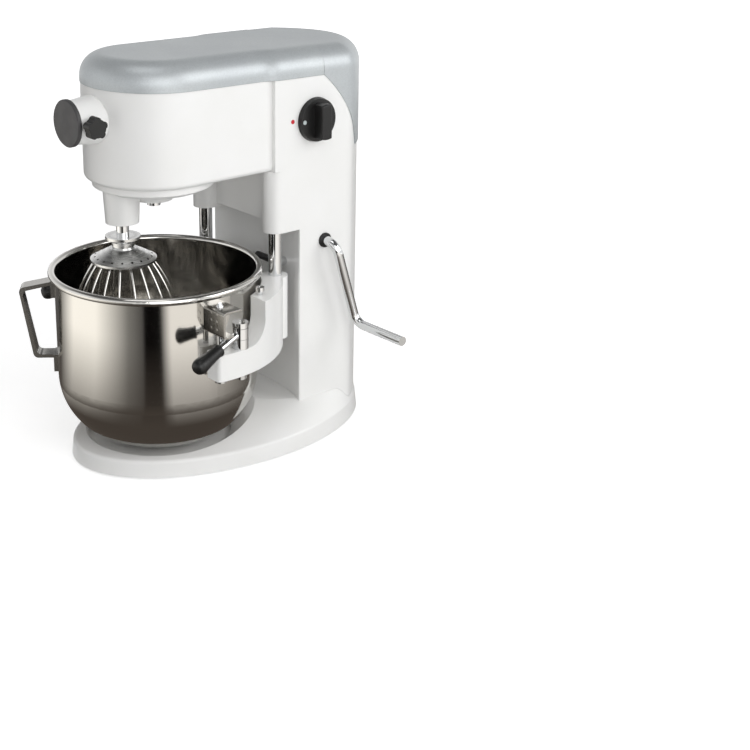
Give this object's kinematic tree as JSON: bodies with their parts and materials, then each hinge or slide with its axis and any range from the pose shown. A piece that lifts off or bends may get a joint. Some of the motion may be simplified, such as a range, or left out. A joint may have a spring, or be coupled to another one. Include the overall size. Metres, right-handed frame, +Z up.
{
  "type": "stand mixer",
  "caption": "Bowl-lift planetary stand mixer with a steel bowl on a cranked yoke, a wire whisk, a front attachment hub and a speed knob.",
  "frame": {"origin": "on the table under the middle of the whole machine's box", "axes": "+Z up, -Y towards the front where the attachment hub opens, +X to the side with the crank"},
  "size_m": [0.3414, 0.4039, 0.4601],
  "materials": {
    "white_enamel": "smooth gloss",
    "grey_enamel": "satin metallic",
    "bowl_steel": "polished steel",
    "bright_steel": "bright",
    "machined_steel": "machined",
    "cast_alloy": "cast, turned faces",
    "gear_iron": "machined",
    "bush_brass": "machined",
    "black_plastic": "fine grain",
    "foot_rubber": "matte",
    "red_plastic": "gloss",
    "mark_plastic": "gloss",
    "board_laminate": "matte"
  },
  "bodies": {
    "machine": {"base_casting": "white_enamel", "base_plate": "machined_steel", "rubber_feet": "foot_rubber", "plate_screws": "machined_steel", "column_housing": "white_enamel", "head_housing": "white_enamel", "top_cover": "grey_enamel", "rear_cover": "grey_enamel", "attachment_hub": "white_enamel", "ring_gear": "gear_iron", "gear_bridge": "cast_alloy", "main_shaft_bearings": "machined_steel", "motor_housing": "cast_alloy", "motor_bracket": "machined_steel", "drive_belt": "foot_rubber", "guide_bushes": "bush_brass", "crank_bush": "black_plastic", "speed_switch": "black_plastic", "control_board": "board_laminate", "cord_gland": "black_plastic", "index_mark": "red_plastic", "lock_stud": "bright_steel"},
    "carrier": {"planet_carrier": "white_enamel", "planet_bearings": "machined_steel", "main_shaft": "machined_steel", "carrier_bolt": "bright_steel", "driven_pulley": "cast_alloy", "drive_bevel": "gear_iron"},
    "beater": {"beater_shaft": "bright_steel", "planet_pinion": "gear_iron", "shaft_collar": "bright_steel", "whisk_bush": "cast_alloy", "whisk_cap": "cast_alloy", "whisk_wires": "bowl_steel"},
    "hub_drive": {"hub_shaft": "machined_steel", "hub_pinion": "gear_iron"},
    "rotor": {"motor_rotor": "machined_steel", "motor_pulley": "cast_alloy"},
    "lift": {"yoke": "white_enamel", "guide_rods": "bright_steel", "lift_rack": "machined_steel", "bowl": "bowl_steel", "bowl_handle": "bowl_steel", "bowl_lugs": "bowl_steel", "locating_pins": "bright_steel", "clamp_studs": "bright_steel", "rim_stops": "bright_steel"},
    "clamp_right": {"clamp_lever_right": "bright_steel", "clamp_grip_right": "black_plastic"},
    "clamp_left": {"clamp_lever_left": "bright_steel", "clamp_grip_left": "black_plastic"},
    "lock": {"lock_lever": "bright_steel", "lock_grip": "black_plastic"},
    "crank": {"crank_handle": "bright_steel", "lift_pinion": "gear_iron"},
    "knob": {"speed_knob": "black_plastic", "speed_knob_mark": "mark_plastic"},
    "star": {"star_knob": "black_plastic"},
    "cap": {"hub_cap": "black_plastic"}
  },
  "joints": [
    {"name": "planetary_spin", "type": "hinge", "parent": "machine", "child": "carrier", "pos_m": [-0.0087, -0.07485, 0.3155], "axis": [0, 0, 1], "continuous": true},
    {"name": "beater_spin", "type": "hinge", "parent": "carrier", "child": "beater", "pos_m": [-0.0087, -0.11685, 0.277], "axis": [0, 0, 1], "continuous": true},
    {"name": "hub_drive_spin", "type": "hinge", "parent": "machine", "child": "hub_drive", "pos_m": [-0.0087, -0.11285, 0.3957], "axis": [0, -1, 0], "continuous": true},
    {"name": "motor_spin", "type": "hinge", "parent": "machine", "child": "rotor", "pos_m": [-0.0087, 0.12315, 0.392], "axis": [0, 0, 1], "continuous": true},
    {"name": "bowl_lift", "type": "slide", "parent": "machine", "child": "lift", "axis": [0, 0, 1], "range_m": [0, 0.046]},
    {"name": "crank_turn", "type": "hinge", "parent": "machine", "child": "crank", "pos_m": [0.0917, 0.10355, 0.2328], "axis": [1, 0, 0], "range_deg": [0, 164.78]},
    {"name": "clamp_right_turn", "type": "hinge", "parent": "lift", "child": "clamp_right", "pos_m": [0.1243, -0.05785, 0.1733], "axis": [0, 0, 1], "range_deg": [0, 90]},
    {"name": "clamp_left_turn", "type": "hinge", "parent": "lift", "child": "clamp_left", "pos_m": [-0.1417, -0.05785, 0.1733], "axis": [0, 0, 1], "range_deg": [-90, 0]},
    {"name": "lock_turn", "type": "hinge", "parent": "machine", "child": "lock", "pos_m": [0.0333, 0.06615, 0.204], "axis": [0, 1, 0], "range_deg": [-40, 0]},
    {"name": "speed_knob_turn", "type": "hinge", "parent": "machine", "child": "knob", "pos_m": [0.0717, 0.08885, 0.3755], "axis": [1, 0, 0], "range_deg": [0, 270]},
    {"name": "star_knob_turn", "type": "hinge", "parent": "machine", "child": "star", "pos_m": [0.0173, -0.16885, 0.3957], "axis": [1, 0, 0], "range_deg": [0, 360]},
    {"name": "hub_cap_pull", "type": "slide", "parent": "machine", "child": "cap", "axis": [0, -1, 0], "range_m": [0, 0.1]}
  ],
  "couplings": [
    {"joint": "beater_spin", "follows": "planetary_spin", "ratio": -3.625},
    {"joint": "hub_drive_spin", "follows": "planetary_spin", "ratio": 1.8889},
    {"joint": "motor_spin", "follows": "planetary_spin", "ratio": 3.5316},
    {"joint": "crank_turn", "follows": "bowl_lift", "rad_per_m": 62.5}
  ]
}
